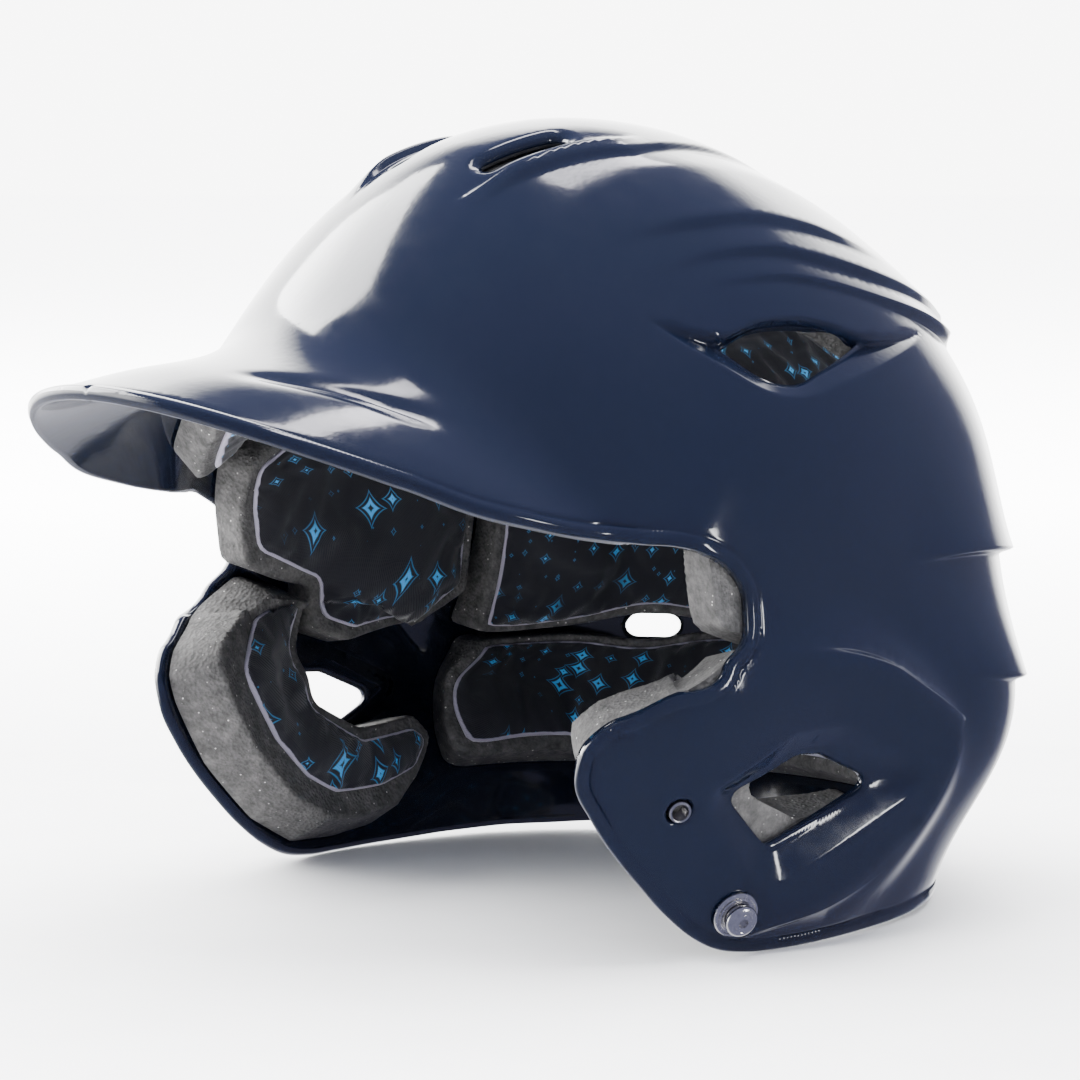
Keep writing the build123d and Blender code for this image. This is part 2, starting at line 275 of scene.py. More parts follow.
def inside(points, loop):
    """True for flat points inside a closed loop."""
    x, y = points[:, 0], points[:, 1]
    result = np.zeros(len(points), bool)
    for p, q in zip(loop, np.roll(loop, -1, 0)):
        if p[1] == q[1]:
            continue
        u = (y - p[1]) / (q[1] - p[1])
        result ^= (u >= 0) & (u < 1) & (x < p[0] + u * (q[0] - p[0]))
    return result


def loop_distance(points, loop):
    """Distance from each point to a polyline, which is closed if its last point is its first."""
    best = np.full(len(points), 1e9)
    for p, q in zip(loop[:-1], loop[1:]):
        d = q - p
        t = np.clip(((points - p) @ d) / (d @ d + 1e-12), 0, 1)
        best = np.minimum(best, np.linalg.norm(points - p - t[:, None] * d, axis=1))
    return best


def inside_depth(y, z, loop):
    """Distance inside a closed outline, negative outside it."""
    points = np.stack([y, z], -1)
    away = loop_distance(points, np.vstack([loop, loop[:1]]))
    return np.where(inside(points, loop), away, -away)


# ---------------------------------------------------------------- outlines
EAR_HOLE = rounded([(-30, 41), (-9, 50), (-1, 49.5), (18, 41), (-15, 27)], 3.0, 1.2)
EAR_RECESS = rounded(
    [(-39, 45), (-36, 37), (-21, 20.5), (-12, 18), (27, 38), (31, 45), (2, 59), (-15, 58.5)], 7.0, 3.0
)
VENT_TOP = open_spline([(-20, 152), (-9, 156), (4, 157), (18, 155.5), (31, 151.5)], 40)
VENT_SILL = open_spline([(31, 151.5), (12, 145.8), (-2, 142.7), (-10, 144.5), (-20, 152)], 44)
SIDE_VENT = np.vstack([VENT_TOP[:-1], VENT_SILL[:-1]])
VENT_BROW = open_spline([(-36, 158.5), (-20, 154), (-6, 157), (10, 157.3), (31, 152.3), (67, 151.5)], 60)
VENT_BEVEL = open_spline(
    [(-36, 158.5), (-30, 152.5), (-22, 146.5), (-11, 140), (-3, 138.8), (18, 142), (40, 146), (67, 151.5)], 60
)


def along_angle(s, test, low, high):
    """Angle between low and high at each s where test(point) turns positive, by halving."""
    low = np.full(s.shape, low)
    high = np.full(s.shape, high)
    for _ in range(40):
        middle = (low + high) / 2
        past = test(base(middle, s)) > 0
        high = np.where(past, middle, high)
        low = np.where(past, low, middle)
    return low


def brim_edge(p):
    return 1 - (p[..., 0] / BRIM_HALF_WIDTH)**2 - ((p[..., 1] - BRIM_CENTRE_Y) / BRIM_DEPTH)**2


def below_back_edge(p):
    """Positive below the back's rim, which rises a little towards the middle."""
    return 2 + (p[..., 1] - 68) * 0.06 - p[..., 2]


def rim_chain(spacing):
    """Left half of the rim from the brim's middle to the middle of the back, as (angle, side)."""
    s = np.linspace(0, 0.58, 12)
    a = along_angle(s, brim_edge, math.radians(8), math.radians(75))
    side = [
        (-77, 111), (-64, 108.2), (-53, 106), (-42, 103.5), (-34, 98.5), (-29.5, 90), (-31.5, 81.5),
        (-38, 75.8), (-51, 69.5), (-62, 63.5), (-68, 57), (-68.5, 49), (-64, 39.5), (-58, 31), (-50, 22),
        (-41, 13), (-32, 6), (-24, 2), (-15, 0.3), (-4, 0), (12, 0.3), (32, 1), (50, 1.6), (68, 2),
    ]
    side_a, side_s = from_side(*np.array(side).T)
    back_s = np.linspace(side_s[-1], 0, 9)[1:]
    back_a = along_angle(back_s, below_back_edge, math.radians(185), math.radians(230))
    chain = np.vstack([np.c_[a, s], np.c_[side_a, side_s], np.c_[back_a, back_s]])
    points = base(chain[:, 0], chain[:, 1])
    full = open_spline(np.hstack([points, chain]), 900)
    length = loop_length(respace(full[:, :3], 900), closed=False)
    a, s = respace_on(full[:, :3], full[:, 3], full[:, 4], round(length / spacing))
    s[0] = s[-1] = 0
    return a, s


# ---------------------------------------------------------------- surface detail
LIP_1 = open_spline([(28, 95.5), (40, 95.5), (56, 95.3), (75, 94), (93, 92), (106, 90)], 60)
LIP_2 = open_spline([(49, 64.8), (58, 64.0), (68, 62.5), (84, 60.5), (100, 59), (110, 58)], 60)
WING_UPPER = open_spline(
    [(-30, 168), (-11, 172.5), (10, 173), (28, 170), (51, 164.5), (72, 158.5), (90, 151.5), (98, 146)], 80
)
WING_LOWER = open_spline(
    [(-20, 165.5), (-5, 167), (10, 167), (24, 165), (50, 159), (77, 151.5), (97, 144.5)], 80
)
SHOULDER = open_spline([(-34, 176), (-20, 179), (-4, 180.3), (15, 180), (28, 178), (48, 173), (70, 166)], 70)
CUP_EDGE = open_spline([(-46, 83), (-15, 79.8), (6, 76.5), (17, 72.8), (29, 66), (42.5, 57)], 50)
CUP_BACK = open_spline([(42.5, 57), (41, 46), (34.5, 31), (22.5, 19.5), (7, 10.5), (-16, 4.5)], 50)
CUP_LOOP = np.vstack([CUP_EDGE, CUP_BACK[1:], [(-60, -8), (-90, 40)]])
TOP_CREASE = open_spline([(20, -54), (23.5, -43), (26, -28), (27.5, -9), (27, 6)], 50)
BRIM_GROOVE = [(14, -121), (21, -117), (32, -108), (41, -100), (52, -92), (62, -84)]
# Lines from the side that the mesh follows, and the distances from each of its rows of points. The
# rows along the top crease, inside the rim and round each opening have their own distances.
DETAIL_LINES = [
    (LIP_1, (-1.3, -0.7, -0.25, 0.2, 0.7, 1.3)),
    (LIP_2, (-1.3, -0.7, -0.25, 0.2, 0.7, 1.3)),
    (SHOULDER, (-1.3, -0.5, 0.5, 1.3)),
    (WING_UPPER, (-1.1, -0.4, 0.4, 1.1)),
    (WING_LOWER, (-1.2, -0.6, 0, 0.6, 1.2)),
    (CUP_EDGE, (-2.2, -1.5, -0.8, 0)),
    (CUP_BACK, (-2.2, -1.5, -0.8, 0)),
    (VENT_BEVEL, (-0.9, -0.3, 0.3, 0.9)),
    (VENT_BROW, (-1.2, -0.7, -0.2, 0.3)),
    (np.vstack([EAR_RECESS, EAR_RECESS[:1]]), (-0.6, 0.3, 1.2)),
]
CREASE_ROWS = (-0.9, -0.3, 0.3, 0.9)
RIM_ROWS = (0.3, 0.7, 1.15, 1.7, 2.3, 2.9, 3.3, 3.7, 4.3, 5.2)
HOLE_ROWS = (0.3, 0.7, 1.15, 1.8, 2.6)


def ends(part, first, last):
    """Fades a line's effect in and out at its ends."""
    return smooth(part / first) * smooth((1 - part) / last)


def step(y, z, line, height, edge, reach, fade, swell=0.0):
    """A sharp step up across a line, dying away above it; swell raises its rear half further."""
    away, part = line_field(y, z, line)
    above = smooth(away / edge + 0.5) * np.exp(-np.maximum(away, 0) / reach)
    return (height + swell * smooth((part - 0.45) / 0.5)) * above * ends(part, *fade)


def outer_detail(points):
    """Height of the moulded detail above the base surface, in millimetres."""
    x, y, z = points[:, 0], points[:, 1], points[:, 2]
    x = np.abs(x)
    side = smooth((x - 40) / 12)
    out = -4.2 * smooth(inside_depth(y, z, EAR_RECESS) / 7.5) * side
    below, _ = line_field(y, z, VENT_BEVEL)
    under, _ = line_field(y, z, VENT_BROW)
    scoop = np.clip(below * 0.55, 0, 3.4) * smooth(-under / 0.9 + 0.4)
    out -= scoop * side * (y > -36) * (y < 67)
    flank = smooth((x - 30) / 14)
    out += flank * step(y, z, WING_UPPER, 1.9, 1.7, 16, (0.35, 0.08))
    out += flank * step(y, z, WING_LOWER, 1.2, 1.6, 9, (0.3, 0.08), swell=2.6)
    out += flank * step(y, z, SHOULDER, 1.6, 2.4, 14, (0.3, 0.4))
    depth = inside_depth(y, z, CUP_LOOP)
    rear = smooth((y + 30) / 55)
    out += side * 3.6 * rear * smooth(depth / 2.2) * np.exp(-np.maximum(depth - 2.2, 0) / 18)
    out += side * step(y, z, LIP_1, 4.2, 1.2, 17, (0.55, 0.12))
    out += side * step(y, z, LIP_2, 3.4, 1.2, 12, (0.55, 0.12))
    out += brim_groove(x, y) * (z > 100)
    out += top_detail(x, y, z)
    return out


def brim_groove(x, y):
    """The shallow lens-shaped groove along each side of the brim."""
    away, part = line_field(x, y, BRIM_GROOVE)
    return -1.2 * np.exp(-(away / 3.4)**2) * ends(part, 0.3, 0.3)


def top_detail(x, y, z):
    """Hooded recesses round the top vents and the raised panel between them."""
    u, v = x - TOP_VENT_AT[0], y - TOP_VENT_AT[1]
    cos, sin = math.cos(TOP_VENT_TURN), math.sin(TOP_VENT_TURN)
    past_end = np.maximum(np.abs(u * cos + v * sin) - TOP_HOOD_HALF_LENGTH, 0)
    out = -1.0 * smooth((5.5 - np.hypot(past_end, v * cos - u * sin)) / 3)
    beside, part = line_field(x, y, TOP_CREASE)
    fade = ends(part, 0.35, 0.35)
    out += fade * 1.9 * smooth(0.5 - beside / 1.6) * np.exp(-np.maximum(-beside, 0) / 7)
    out -= fade * 1.4 * smooth(0.5 + beside / 1.6) * np.exp(-np.maximum(beside, 0) / 9)
    edge = 36 - 0.16 * np.abs(y + 5)
    out += 1.3 * smooth((edge - x) / 3.0) * smooth((y + 52) / 20) * smooth((64 - y) / 40)
    return out * (z > 170)


# ---------------------------------------------------------------- meshing
def chart_side(a, s):
    """Flat chart centred on the fan axis: distance from it along each section, and the fan angle."""
    away = SIDE_CHART * (1 - np.abs(s))
    return np.stack([-away * np.cos(a), away * np.sin(a)], -1)


def chart_side_back(uv):
    away = np.hypot(uv[:, 0], uv[:, 1])
    a = np.arctan2(uv[:, 1], -uv[:, 0]) % (2 * np.pi)
    return a, 1 - away / SIDE_CHART


def chart_flat(a, s):
    return np.stack([s * FLAT_CHART[0], a * FLAT_CHART[1]], -1)


def chart_flat_back(uv):
    return uv[:, 1] / FLAT_CHART[1], uv[:, 0] / FLAT_CHART[0]


def walk(a, s, distance, closed=True):
    """Moves a row of points over the surface, square to the row, in steps of a millimetre or less."""
    steps = max(1, math.ceil(abs(distance)))
    for _ in range(steps):
        p = base(a, s)
        t = np.roll(p, -1, 0) - np.roll(p, 1, 0) if closed else np.gradient(p, axis=0)
        n, da, ds = frame_at(a, s)
        d = np.cross(n, t)
        d /= np.linalg.norm(d, axis=1)[:, None] + 1e-12
        d *= distance / steps
        g11, g12, g22 = (da * da).sum(1), (da * ds).sum(1), (ds * ds).sum(1)
        b1, b2 = (da * d).sum(1), (ds * d).sum(1)
        det = g11 * g22 - g12**2
        a = a + (g22 * b1 - g12 * b2) / det
        s = s + (g11 * b2 - g12 * b1) / det
    return a, s


def towards_middle(loop):
    """1 or -1: the walking direction that shrinks a closed loop."""
    return -1 if loop_length(base(*walk(*loop, 1.0))) > loop_length(base(*loop)) else 1


def closed_edge(loop):
    """A closed loop's points in space, with the first repeated at the end."""
    edge = base(*loop)
    return np.vstack([edge, edge[:1]])


def rows_beside(loop, distances, way=1, keep=0.93):
    """Rows of points inside (way 1) or outside (-1) a closed loop, without those of its tight corners."""
    edge = closed_edge(loop)
    direction = way * towards_middle(loop)
    rows = []
    for distance in distances:
        a, s = walk(*loop, direction * distance)
        good = loop_distance(base(a, s), edge) > keep * distance
        rows.append((a[good], s[good]))
    return rows


def nearest(points, others):
    """Distance from each point of a chart to the closest of others."""
    tree = KDTree(len(others))
    for k, (u, v) in enumerate(others):
        tree.insert((u, v, 0), k)
    tree.balance()
    return np.array([tree.find((u, v, 0))[2] for u, v in points])


def fill(outer, holes, rows, chart, back, spacing):
    """Triangulates the surface inside the outer loop and outside the holes.

    Loops and rows are (angle, side). Returns the points' angles and sides, and the triangles.
    """
    loops = [chart(*loop) for loop in (outer, *holes)]

    def within(points):
        return inside(points, loops[0]) & ~np.any([inside(points, hole) for hole in loops[1:]], axis=0)

    row_points = np.vstack([chart(*row) for row in rows])
    given = np.vstack(loops + [row_points[within(row_points)]])
    low, high = loops[0].min(0), loops[0].max(0)
    grid_v = np.arange(low[1], high[1], spacing * 0.866)
    uu, vv = np.meshgrid(np.arange(low[0], high[0], spacing), grid_v)
    uu = uu + (np.arange(len(grid_v)) % 2)[:, None] * spacing / 2
    lattice = np.stack([uu.ravel(), vv.ravel()], 1)
    lattice = lattice[within(lattice)]
    lattice = lattice[nearest(lattice, given) > spacing * 0.8]
    points = np.vstack([given, lattice])
    edges = []
    start = 0
    for loop in loops:
        n = len(loop)
        edges += [(start + k, start + (k + 1) % n) for k in range(n)]
        start += n
    verts, _, faces, _, _, _ = delaunay_2d_cdt([Vector(p) for p in points], edges, [], 0, 1e-5)
    uv = np.array([(v.x, v.y) for v in verts])
    tri = np.array([f for f in faces if len(f) == 3])
    return *back(uv), tri[within(uv[tri].mean(1))]


def placed(name, data):
    obj = bpy.data.objects.new(name, data)
    bpy.context.scene.collection.objects.link(obj)
    return obj


def mesh_object(name, points, faces, material):
    mesh = bpy.data.meshes.new(name)
    mesh.from_pydata([tuple(p) for p in points], [], [tuple(int(i) for i in f) for f in faces])
    mesh.update()
    mesh.materials.append(material)
    mesh.polygons.foreach_set("use_smooth", [True] * len(mesh.polygons))
    return placed(name, mesh)


def to_part(points):
    """Design millimetres to metres in the part's frame."""
    return (points + np.array([0, ORIGIN_SHIFT, 0])) / 1000.0


def mirrored(points):
    return points * np.array([-1, 1, 1])


def attach(obj, body, node):
    """Puts a piece on its body, in place of its CAD node."""
    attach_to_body(obj, body)
    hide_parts(node)


def circle(centre, radius, spacing):
    count = max(16, round(2 * math.pi * radius / spacing))
    t = np.arange(count) * 2 * math.pi / count
    return np.stack([centre[0] + radius * np.cos(t), centre[1] + radius * np.sin(t)], 1)


def rounded_slot(length, width, spacing):
    """Outline of a slot along the first axis."""
    radius = width / 2
    half = length / 2 - radius
    t = np.linspace(-math.pi / 2, math.pi / 2, 13)
    right = np.stack([half + radius * np.cos(t), radius * np.sin(t)], 1)
    outline = np.vstack([right, -right])
    return respace(outline, max(16, round((4 * half + 2 * math.pi * radius) / spacing)), closed=True)


def thinned(rows, gap=0.17):
    """Drops row points that crowd an earlier one."""
    result = []
    taken = {}
    for a, s in rows:
        keep = []
        for k, q in enumerate(base(a, s)):
            key = tuple(np.floor(q / gap).astype(int))
            cells = itertools.product(*((c - 1, c, c + 1) for c in key))
            if all(c not in taken or np.linalg.norm(taken[c] - q) > gap for c in cells):
                keep.append(k)
                taken[key] = q
        result.append((a[keep], s[keep]))
    return result


def inner_depth(points):
    """Depth of the wall's inner face below the base surface."""
    x, y, z = np.abs(points[:, 0]), points[:, 1], points[:, 2]
    side = smooth((x - 40) / 12)
    return WALL + 3.2 * smooth(inside_depth(y, z, EAR_RECESS) / 7.5) * side


def shifted(line, spacing, distance):
    """A flat line moved sideways and evenly spaced."""
    dense = respace(line, max(8, round(loop_length(line, False) / spacing)))
    tangent = np.gradient(dense, axis=0)
    tangent /= np.linalg.norm(tangent, axis=1)[:, None]
    return np.stack([dense[:, 0] - tangent[:, 1] * distance, dense[:, 1] + tangent[:, 0] * distance], 1)


def rim_profile(distance, bead):
    """How far the wall's edge rounds off, with the bead line a little way in."""
    radius = 1.25
    short = np.clip(radius - distance, 0, radius)
    drop = radius - np.sqrt(np.maximum(radius**2 - short**2, 0))
    groove = 0.5 * np.exp(-((distance - 3.7) / 0.55)**2)
    return -drop + bead * (0.55 * smooth((3.9 - distance) / 0.8) - groove)


def hole_loops():
    """Edges of the left half's openings, as (angle, side)."""
    loops = [from_side(*respace(EAR_HOLE, round(110 / FINE), closed=True).T)]
    loops.append(from_side(*respace(SIDE_VENT, round(120 / FINE), closed=True).T))
    cos, sin = math.cos(TOP_VENT_TURN), math.sin(TOP_VENT_TURN)
    slot = rounded_slot(*TOP_VENT_SIZE, FINE) @ np.array([[cos, sin], [-sin, cos]])
    loops.append(from_view(slot + TOP_VENT_AT, [0, 1], CROWN_ANGLE, 0.12))
    loops.append(from_view(rounded_slot(*REAR_VENT_SIZE, FINE) + REAR_VENT_AT, [0, 2], NAPE_ANGLE, 0.35))
    for centre in (GUARD_INSERT_AT, JAW_STUD_AT):
        loops.append(from_side(*circle(centre, FIXING_BORE_RADIUS, FINE).T))
    return loops


def build_shell():
    """The moulded shell: left half on a side chart, mirrored and joined down the middle."""
    rim_a, rim_s = rim_chain(FINE)
    rim_points = base(rim_a, rim_s)
    rows = []
    # Points up the middle: evenly spaced, except where the rows beside the rim meet it.
    middle = list(np.linspace(rim_a[0], rim_a[-1], round(205 / FINE) + 1)[1:-1])
    half_loop = (np.r_[rim_a, INNER_ANGLE], np.r_[rim_s, 0.0])
    inward = towards_middle(half_loop)
    for d in RIM_ROWS:
        a, s = walk(rim_a, rim_s, inward * d, closed=False)
        good = (loop_distance(base(a, s), rim_points) > 0.85 * d) & (s > 0.004)
        rows.append((a[good], s[good]))
        middle = [m for m in middle if min(abs(m - a[0]), abs(m - a[-1])) > 0.004] + [a[0], a[-1]]
    middle = np.sort([m for m in middle if rim_a[0] < m < rim_a[-1]])[::-1]
    outer = (np.r_[rim_a, middle], np.r_[rim_s, np.zeros(len(middle))])
    holes = hole_loops()
    for hole in holes:
        rows += rows_beside(hole, HOLE_ROWS, -1, 0.85)
    for line, reach in DETAIL_LINES:
        for d in reach:
            rows.append(from_side(*shifted(line, FINE, d).T))
    for d in CREASE_ROWS:
        rows.append(from_view(shifted(TOP_CREASE, FINE, d), [0, 1], CROWN_ANGLE, 0.13))
    a, s, tri = fill(outer, holes, thinned(rows), chart_side, chart_side_back, FINE * 1.25)
    s = np.where(s < 1e-5, 0, s)
    p = base(a, s)
    n, _, _ = frame_at(a, np.where(s == 0, 1e-3, s))
    n[s == 0] *= np.array([0, 1, 1])
    n /= np.linalg.norm(n, axis=1)[:, None]
    across = np.vstack([mirrored(rim_points[1:12])[::-1], rim_points, mirrored(rim_points[-12:-1])[::-1]])
    rim_away = loop_distance(p, across)
    hole_away = np.min([loop_distance(p, closed_edge(hole)) for hole in holes], axis=0)
    detail = outer_detail(p)
    top = p + n * (detail + rim_profile(rim_away, 1.0) + rim_profile(hole_away, 0.0))[:, None]
    edge = smooth(1.0 - np.minimum(rim_away, hole_away))
    under = p - n * (inner_depth(p) - 0.6 * edge)[:, None]
    points, faces = closed_solid(outward(tri, p, n), top, under, s == 0)
    count = len(points)
    faces += [tuple(i + count for i in f[::-1]) for f in faces]
    return np.vstack([points, mirrored(points)]), faces


def outward(tri, points, normals):
    """Triangles turned to face along the normals."""
    facing = np.cross(points[tri[:, 1]] - points[tri[:, 0]], points[tri[:, 2]] - points[tri[:, 0]])
    wrong = (facing * normals[tri].mean(1)).sum(1) < 0
    tri = tri.copy()
    tri[wrong] = tri[wrong][:, ::-1]
    return tri


def open_edges(tri):
    """Directed edges that only one triangle uses."""
    edges = np.vstack([tri[:, [0, 1]], tri[:, [1, 2]], tri[:, [2, 0]]])
    pairs = {tuple(e) for e in edges}
    return [e for e in pairs if (e[1], e[0]) not in pairs]


def closed_solid(tri, top, under, seam=None):
    """Two skins and the strip between them, as points and faces; no strip between two seam points."""
    n = len(top)
    if seam is None:
        seam = np.zeros(n, bool)
    faces = [tuple(t) for t in tri] + [(t[2] + n, t[1] + n, t[0] + n) for t in tri]
    faces += [(j, i, i + n, j + n) for i, j in open_edges(tri) if not (seam[i] and seam[j])]
    return np.vstack([top, under]), faces


def weld_middle(obj):
    """Joins the two halves along the plane of symmetry."""
    mesh = bmesh.new()
    mesh.from_mesh(obj.data)
    middle = [v for v in mesh.verts if abs(v.co.x) < 1e-7]
    bmesh.ops.remove_doubles(mesh, verts=middle, dist=1e-6)
    mesh.to_mesh(obj.data)
    mesh.free()


# ---------------------------------------------------------------- pads
def corner_loop(a0, a1, s0, s1, low_z=None, high_z=None):
    """Outline of a pad between two fan angles (degrees) and two side values, with rounded corners.

    high_z and low_z, heights as functions of x, put the upper or the lower edge there instead.
    """
    a0, a1 = math.radians(a0), math.radians(a1)
    wide = loop_length(base(np.full(40, (a0 + a1) / 2), np.linspace(s0, s1, 40)), False)
    tall = loop_length(base(np.linspace(a0, a1, 40), np.full(40, (s0 + s1) / 2)), False)
    box = rounded([(0, 0), (wide, 0), (wide, tall), (0, tall)], PAD_CORNER, FOAM_EDGE_SPACING)
    s = s0 + (s1 - s0) * box[:, 0] / wide
    first, last = np.full(s.shape, a0), np.full(s.shape, a1)
    if high_z:
        first = along_angle(s, lambda p: high_z(p[..., 0]) - p[..., 2], a0, HEM_ANGLE)
    if low_z:
        last = along_angle(s, lambda p: low_z(p[..., 0]) - p[..., 2], a0, HEM_ANGLE)
    return first + (last - first) * box[:, 1] / tall, s


def vent_gap(x):
    """Extra room that the rear and nape pads leave round the rear vents."""
    return 3.5 * np.exp(-((np.abs(x) - REAR_VENT_AT[0]) / 13)**2)


def side_loop(corners, spacing):
    return from_side(*rounded(corners, SIDE_PAD_CORNER, spacing).T)


EAR_PAD = [
    (-29.5, 81), (-38, 76), (-52, 67.8), (-63, 61.5), (-68, 55.5), (-67, 49), (-57, 30.5), (-40, 13),
    (-24, 4), (-6, 3), (10, 4.5), (22, 12), (27, 26), (20, 34), (-4, 32), (-22, 40), (-20, 56), (-12, 76),
]
EAR_FACE = [
    (-28, 71), (-38, 66), (-49, 60), (-55, 53), (-53, 47), (-44, 31.5), (-31, 19.5), (-18, 13.5),
    (3, 13.5), (18, 17), (23.5, 25.5), (18, 30), (-5, 28), (-26, 38), (-24.5, 57), (-17, 71),
]
TEMPLE_PAD = [
    (-41, 118), (-36, 85), (-9, 80), (-9, 62), (4, 57.5), (24, 62), (46, 74), (48, 118), (30, 131),
    (-14, 132),
]
TEMPLE_FACE = [
    (-36, 116), (-32, 89), (-6, 83), (-6, 65), (5, 61), (23, 65), (42, 76.5), (44, 116), (28, 127),
    (-12, 128),
]
# Level edges of the pads above and below the rear vents.
REAR_PAD_BASE = 59.5
NAPE_PAD_TOP = 56.5
NAPE_PAD_BASE = 18.0
# Corner radii, the gap between shell and foam, how far a fabric face lies inside its foam's edge,
# and the spacing of points along each edge and of rows inside it.
PAD_CORNER = 7.0
SIDE_PAD_CORNER = 4.5
PAD_CLEARANCE = 0.7
FACE_INSET = 3.5
FOAM_EDGE_SPACING = 2.5
FACE_EDGE_SPACING = 2.0
FOAM_ROWS = (0.12, 0.5, 1.1, 1.8, 2.6)
FACE_ROWS = (0.4, 1.0, 2.0, 3.2)
PUFF_LIMIT = 0.0025  # how far the cloth step may move a point, in metres
# Each pad: its outline (fan angles in degrees and side values, or the foam's and the face's outlines
# from the side), the foam's thickness in millimetres, and the side values of its stitched seams.
# A right-hand pad is drawn on the left and mirrored.
PADS = {
    "front": ((60, 85, -0.70, 0.70), 11, [-0.24, 0.24, -0.47, 0.47]),
    "crown": ((93, 143, -0.14, 0.14), 10, [0.0]),
    "side_left": ((90, 147, 0.26, 0.54), 9, []),
    "side_right": ((90, 147, 0.54, 0.26), 9, []),
    "temple_left": ((TEMPLE_PAD, TEMPLE_FACE), 11, []),
    "temple_right": ((TEMPLE_PAD, TEMPLE_FACE), 11, []),
    "rear": ((151, 196, -0.62, 0.62), 13, [0.0, -0.2, 0.2, -0.4, 0.4]),
    "nape": ((180, 216, -0.6, 0.6), 12, [-0.2, 0.2, -0.4, 0.4]),
    "ear_left": ((EAR_PAD, EAR_FACE), 16, []),
    "ear_right": ((EAR_PAD, EAR_FACE), 16, []),
}


def pad_outlines(name, layout):
    """Outlines of a pad's foam and of its fabric face."""
    if len(layout) == 2:
        return side_loop(layout[0], FOAM_EDGE_SPACING), side_loop(layout[1], FACE_EDGE_SPACING)
    if name == "rear":
        loop = corner_loop(*layout, low_z=lambda x: REAR_PAD_BASE + vent_gap(x))
    elif name == "nape":
        loop = corner_loop(
            *layout, high_z=lambda x: NAPE_PAD_TOP - vent_gap(x), low_z=lambda x: NAPE_PAD_BASE
        )
    else:
        loop = corner_loop(*layout)
    return loop, inset_loop(loop, FACE_INSET, FACE_EDGE_SPACING)


def inset_loop(loop, distance, spacing):
    """The loop moved inward over the surface, without the folds that tight corners make."""
    a, s = rows_beside(loop, [distance])[0]
    points = base(a, s)
    return respace_on(points, a, s, round(loop_length(points) / spacing), closed=True)


def patch(loop, insets, chart, back):
    """Triangulated surface inside a loop, with rows of points at the given distances from its edge."""
    rows = thinned(rows_beside(loop, insets), 0.3)
    a, s, tri = fill(loop, [], rows, chart, back, PAD_SPACING)
    points = base(a, s)
    normals, _, _ = frame_at(a, np.where(np.abs(s) < 1e-4, 1e-4, s))
    away = loop_distance(points, closed_edge(loop))
    return a, s, points, normals, outward(tri, points, -normals), away


def build_pad(name, layout, foam, seams, materials):
    """One pad: a die-cut foam block and a crowned, stitched fabric face on it."""
    flat = name in ("front", "crown", "rear", "nape")
    chart, back = (chart_flat, chart_flat_back) if flat else (chart_side, chart_side_back)
    hand = -1 if name.endswith("right") else 1
    foam_loop, face_loop = pad_outlines(name, layout)
    _, _, p, n, tri, away = patch(foam_loop, FOAM_ROWS, chart, back)
    near = inner_depth(p) + PAD_CLEARANCE
    shoulder = 1.6
    short = 1 - np.clip(away / shoulder, 0, 1)
    rise = foam - shoulder * (1 - np.sqrt(np.maximum(1 - short**2, 0)))
    top = p - n * (near + rise)[:, None]
    points, faces = closed_solid(tri, top, p - n * near[:, None])
    points = to_part(points * [hand, 1, 1])
    block = mesh_object(f"{name}_pad_block", points, flipped(faces, hand), materials["foam"])
    block.data.set_sharp_from_angle(angle=math.radians(50))
    a, s, p, n, tri, away = patch(face_loop, FACE_ROWS, chart, back)
    across = np.full(len(a), 50.0)
    if seams:
        across = np.abs(s[:, None] - np.array(seams)).min(1) * FLAT_CHART[0]
    soft = np.minimum(away + 0.3, across)
    crown = 0.5 + 2.7 * (1 - np.exp(-soft / 4.0))
    ripple = 0.35 * np.sin(a * 61 + 3 * np.sin(s * 40)) * np.exp(-across / 7)
    ripple += 0.22 * np.sin(s * 150 + 2 * np.sin(a * 25)) * np.exp(-away / 8)
    floor_depth = inner_depth(p) + PAD_CLEARANCE + foam
    outer = p - n * (floor_depth + 0.06 + crown + ripple * (soft > 0.5))[:, None]
    inner = p - n * (floor_depth + 0.05)[:, None]
    points, faces = closed_solid(tri, outer, inner)
    points = to_part(points * [hand, 1, 1])
    cover = mesh_object(f"{name}_pad_cover", points, flipped(faces, hand), materials["fabric"])
    u, v = chart(a, s).T
    store(cover, "trim", np.r_[away, np.full(len(a), -1.0)])
    store(cover, "u", np.r_[u, u])
    store(cover, "v", np.r_[v, v])
    held = np.flatnonzero((away < 0.5) | (across < 1.2))
    group = cover.vertex_groups.new(name="stitched")
    group.add([int(i) for i in held] + list(range(len(a), 2 * len(a))), 1.0, "REPLACE")
    side = name.split("_")[-1]
    node = f"ear_pad_foam_{side}" if name.startswith("ear") else f"{name}_pad_foam"
    attach(block, "helmet", node)
    attach(cover, "helmet", node.replace("foam", "face"))
    return cover


